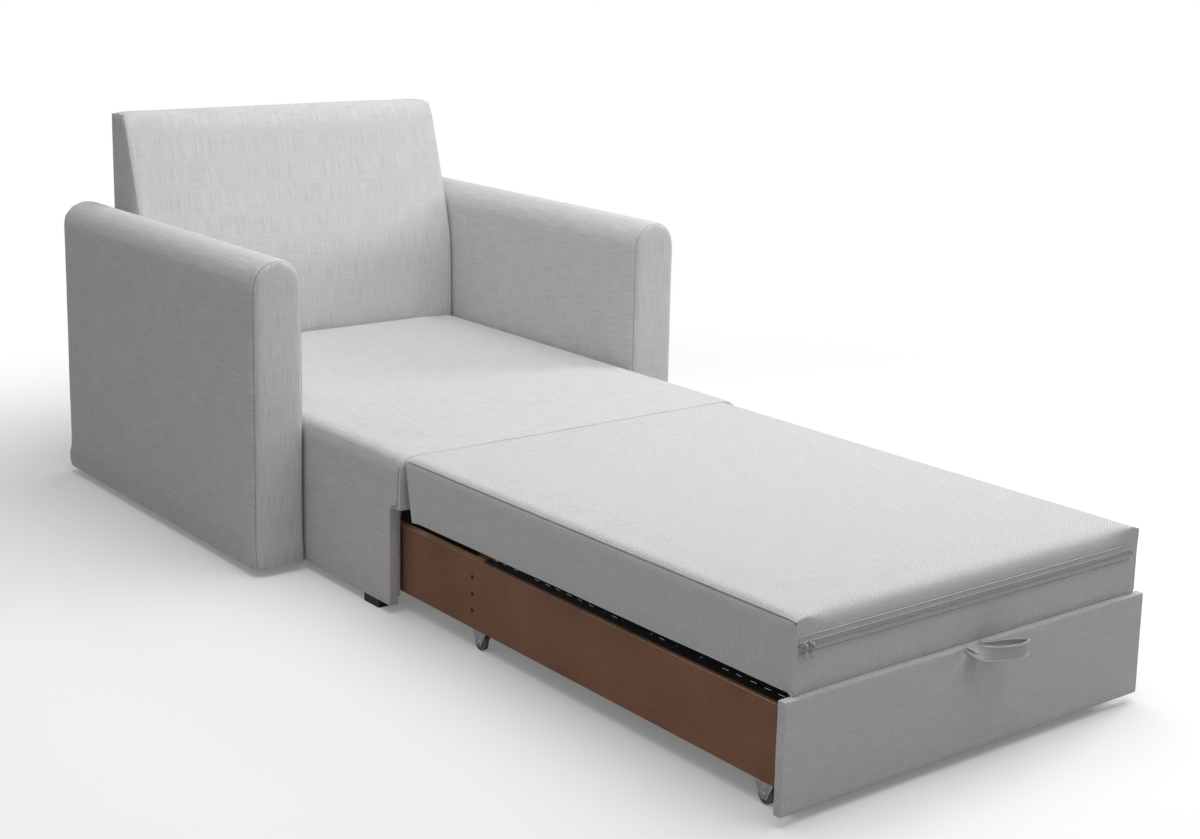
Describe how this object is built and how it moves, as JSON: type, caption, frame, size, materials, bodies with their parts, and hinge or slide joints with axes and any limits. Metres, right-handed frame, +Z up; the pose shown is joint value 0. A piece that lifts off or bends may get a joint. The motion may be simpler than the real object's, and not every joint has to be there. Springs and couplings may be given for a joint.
{
  "type": "convertible chair bed",
  "caption": "One-seat upholstered chair bed: a wheeled low frame slides out from the base and a zipped, hinged mattress unfolds over it.",
  "frame": {"origin": "on the floor, under the middle of the pulled-out bed's box", "axes": "+Y from the foot of the bed towards the backrest, +X to the right as seen from the foot of the bed, +Z up"},
  "size_m": [0.96, 2.1408, 0.766],
  "materials": {
    "upholstery_cloth": "light grey melange weave",
    "mattress_cloth": "light grey melange weave",
    "loop_tape": "woven tape, light grey",
    "black_deck_cloth": "black felted cloth",
    "elastic_webbing": "black elastic webbing",
    "foam": "open-cell foam",
    "fibreboard": "bare medium-density fibreboard",
    "hardboard": "bare hardboard",
    "pine": "planed pine",
    "black_screws": "black oxide",
    "zinc_steel": "zinc plated",
    "zip_metal": "grey enamelled zinc",
    "zip_tape": "woven polyester tape with a nylon coil",
    "black_plastic": "moulded",
    "grey_plastic": "moulded"
  },
  "bodies": {
    "base": {"arm_bolts": "zinc_steel", "arm_cover_left": "upholstery_cloth", "arm_cover_right": "upholstery_cloth", "arm_front_facing_left": "upholstery_cloth", "arm_front_facing_right": "upholstery_cloth", "arm_front_post_left": "pine", "arm_front_post_right": "pine", "arm_inner_panel_left": "fibreboard", "arm_inner_panel_right": "fibreboard", "arm_outer_panel_left": "hardboard", "arm_outer_panel_right": "hardboard", "arm_padding_left": "foam", "arm_padding_right": "foam", "arm_rear_post_left": "pine", "arm_rear_post_right": "pine", "arm_top_rail_left": "pine", "arm_top_rail_right": "pine", "backrest_cover": "upholstery_cloth", "backrest_foam": "foam", "backrest_panel": "hardboard", "backrest_post_left": "pine", "backrest_post_right": "pine", "base_back_board": "fibreboard", "base_feet": "black_plastic", "frame_catches": "pine", "guide_board_left": "upholstery_cloth", "guide_board_right": "upholstery_cloth", "seat_cover": "upholstery_cloth", "seat_foam": "foam", "seat_front_rail": "pine", "seat_rear_rail": "pine", "seat_webbing": "elastic_webbing", "side_board_left": "fibreboard", "side_board_right": "fibreboard"},
    "pullout_frame": {"cross_board_middle": "fibreboard", "cross_board_rear": "fibreboard", "deck_board": "hardboard", "deck_cover": "black_deck_cloth", "deck_pad": "foam", "frame_rail_left": "fibreboard", "frame_rail_right": "fibreboard", "frame_stop_blocks": "pine", "front_panel_board": "fibreboard", "front_panel_cover": "upholstery_cloth", "pull_loop": "loop_tape", "rail_screws": "black_screws", "wheel_axles": "zinc_steel", "wheel_brackets": "zinc_steel"},
    "mattress": {"joining_strip": "upholstery_cloth", "mattress_cover": "mattress_cloth", "mattress_foam": "foam", "zip_slider_left": "zip_metal", "zip_tape": "zip_tape"},
    "zip_slider": {"zip_slider_right": "zip_metal"},
    "zip_pull_fixed": {"zip_pull_left": "zip_metal"},
    "zip_pull_running": {"zip_pull_right": "zip_metal"},
    "wheel_front_left_body": {"wheel_front_left": "grey_plastic"},
    "wheel_front_right_body": {"wheel_front_right": "grey_plastic"},
    "wheel_rear_left_body": {"wheel_rear_left": "grey_plastic"},
    "wheel_rear_right_body": {"wheel_rear_right": "grey_plastic"}
  },
  "joints": [
    {"name": "frame_slide", "type": "slide", "parent": "base", "child": "pullout_frame", "axis": [0, 1, 0], "range_m": [0, 0.9615]},
    {"name": "mattress_fold", "type": "hinge", "parent": "base", "child": "mattress", "pos_m": [0, -0.08415, 0.2895], "axis": [-1, 0, 0], "range_deg": [0, 180], "deforming": ["joining_strip"]},
    {"name": "zip_slide", "type": "slide", "parent": "mattress", "child": "zip_slider", "axis": [1, 0, 0], "range_m": [0, 0.6655]},
    {"name": "zip_pull_fixed_swing", "type": "hinge", "parent": "mattress", "child": "zip_pull_fixed", "pos_m": [-0.3392, -1.02545, 0.2446], "axis": [1, 0, 0], "range_deg": [-150, 0]},
    {"name": "zip_pull_running_swing", "type": "hinge", "parent": "zip_slider", "child": "zip_pull_running", "pos_m": [-0.3266, -1.02545, 0.2446], "axis": [1, 0, 0], "range_deg": [-150, 0]},
    {"name": "wheel_front_left_roll", "type": "hinge", "parent": "pullout_frame", "child": "wheel_front_left_body", "pos_m": [-0.337, -0.95965, 0.014], "axis": [1, 0, 0], "continuous": true},
    {"name": "wheel_front_right_roll", "type": "hinge", "parent": "pullout_frame", "child": "wheel_front_right_body", "pos_m": [0.337, -0.95965, 0.014], "axis": [1, 0, 0], "continuous": true},
    {"name": "wheel_rear_left_roll", "type": "hinge", "parent": "pullout_frame", "child": "wheel_rear_left_body", "pos_m": [-0.337, -0.27465, 0.014], "axis": [1, 0, 0], "continuous": true},
    {"name": "wheel_rear_right_roll", "type": "hinge", "parent": "pullout_frame", "child": "wheel_rear_right_body", "pos_m": [0.337, -0.27465, 0.014], "axis": [1, 0, 0], "continuous": true}
  ],
  "couplings": [
    {"joint": "wheel_front_left_roll", "follows": "frame_slide", "rad_per_m": -71.429},
    {"joint": "wheel_front_right_roll", "follows": "frame_slide", "rad_per_m": -71.429},
    {"joint": "wheel_rear_left_roll", "follows": "frame_slide", "rad_per_m": -71.429},
    {"joint": "wheel_rear_right_roll", "follows": "frame_slide", "rad_per_m": -71.429}
  ]
}
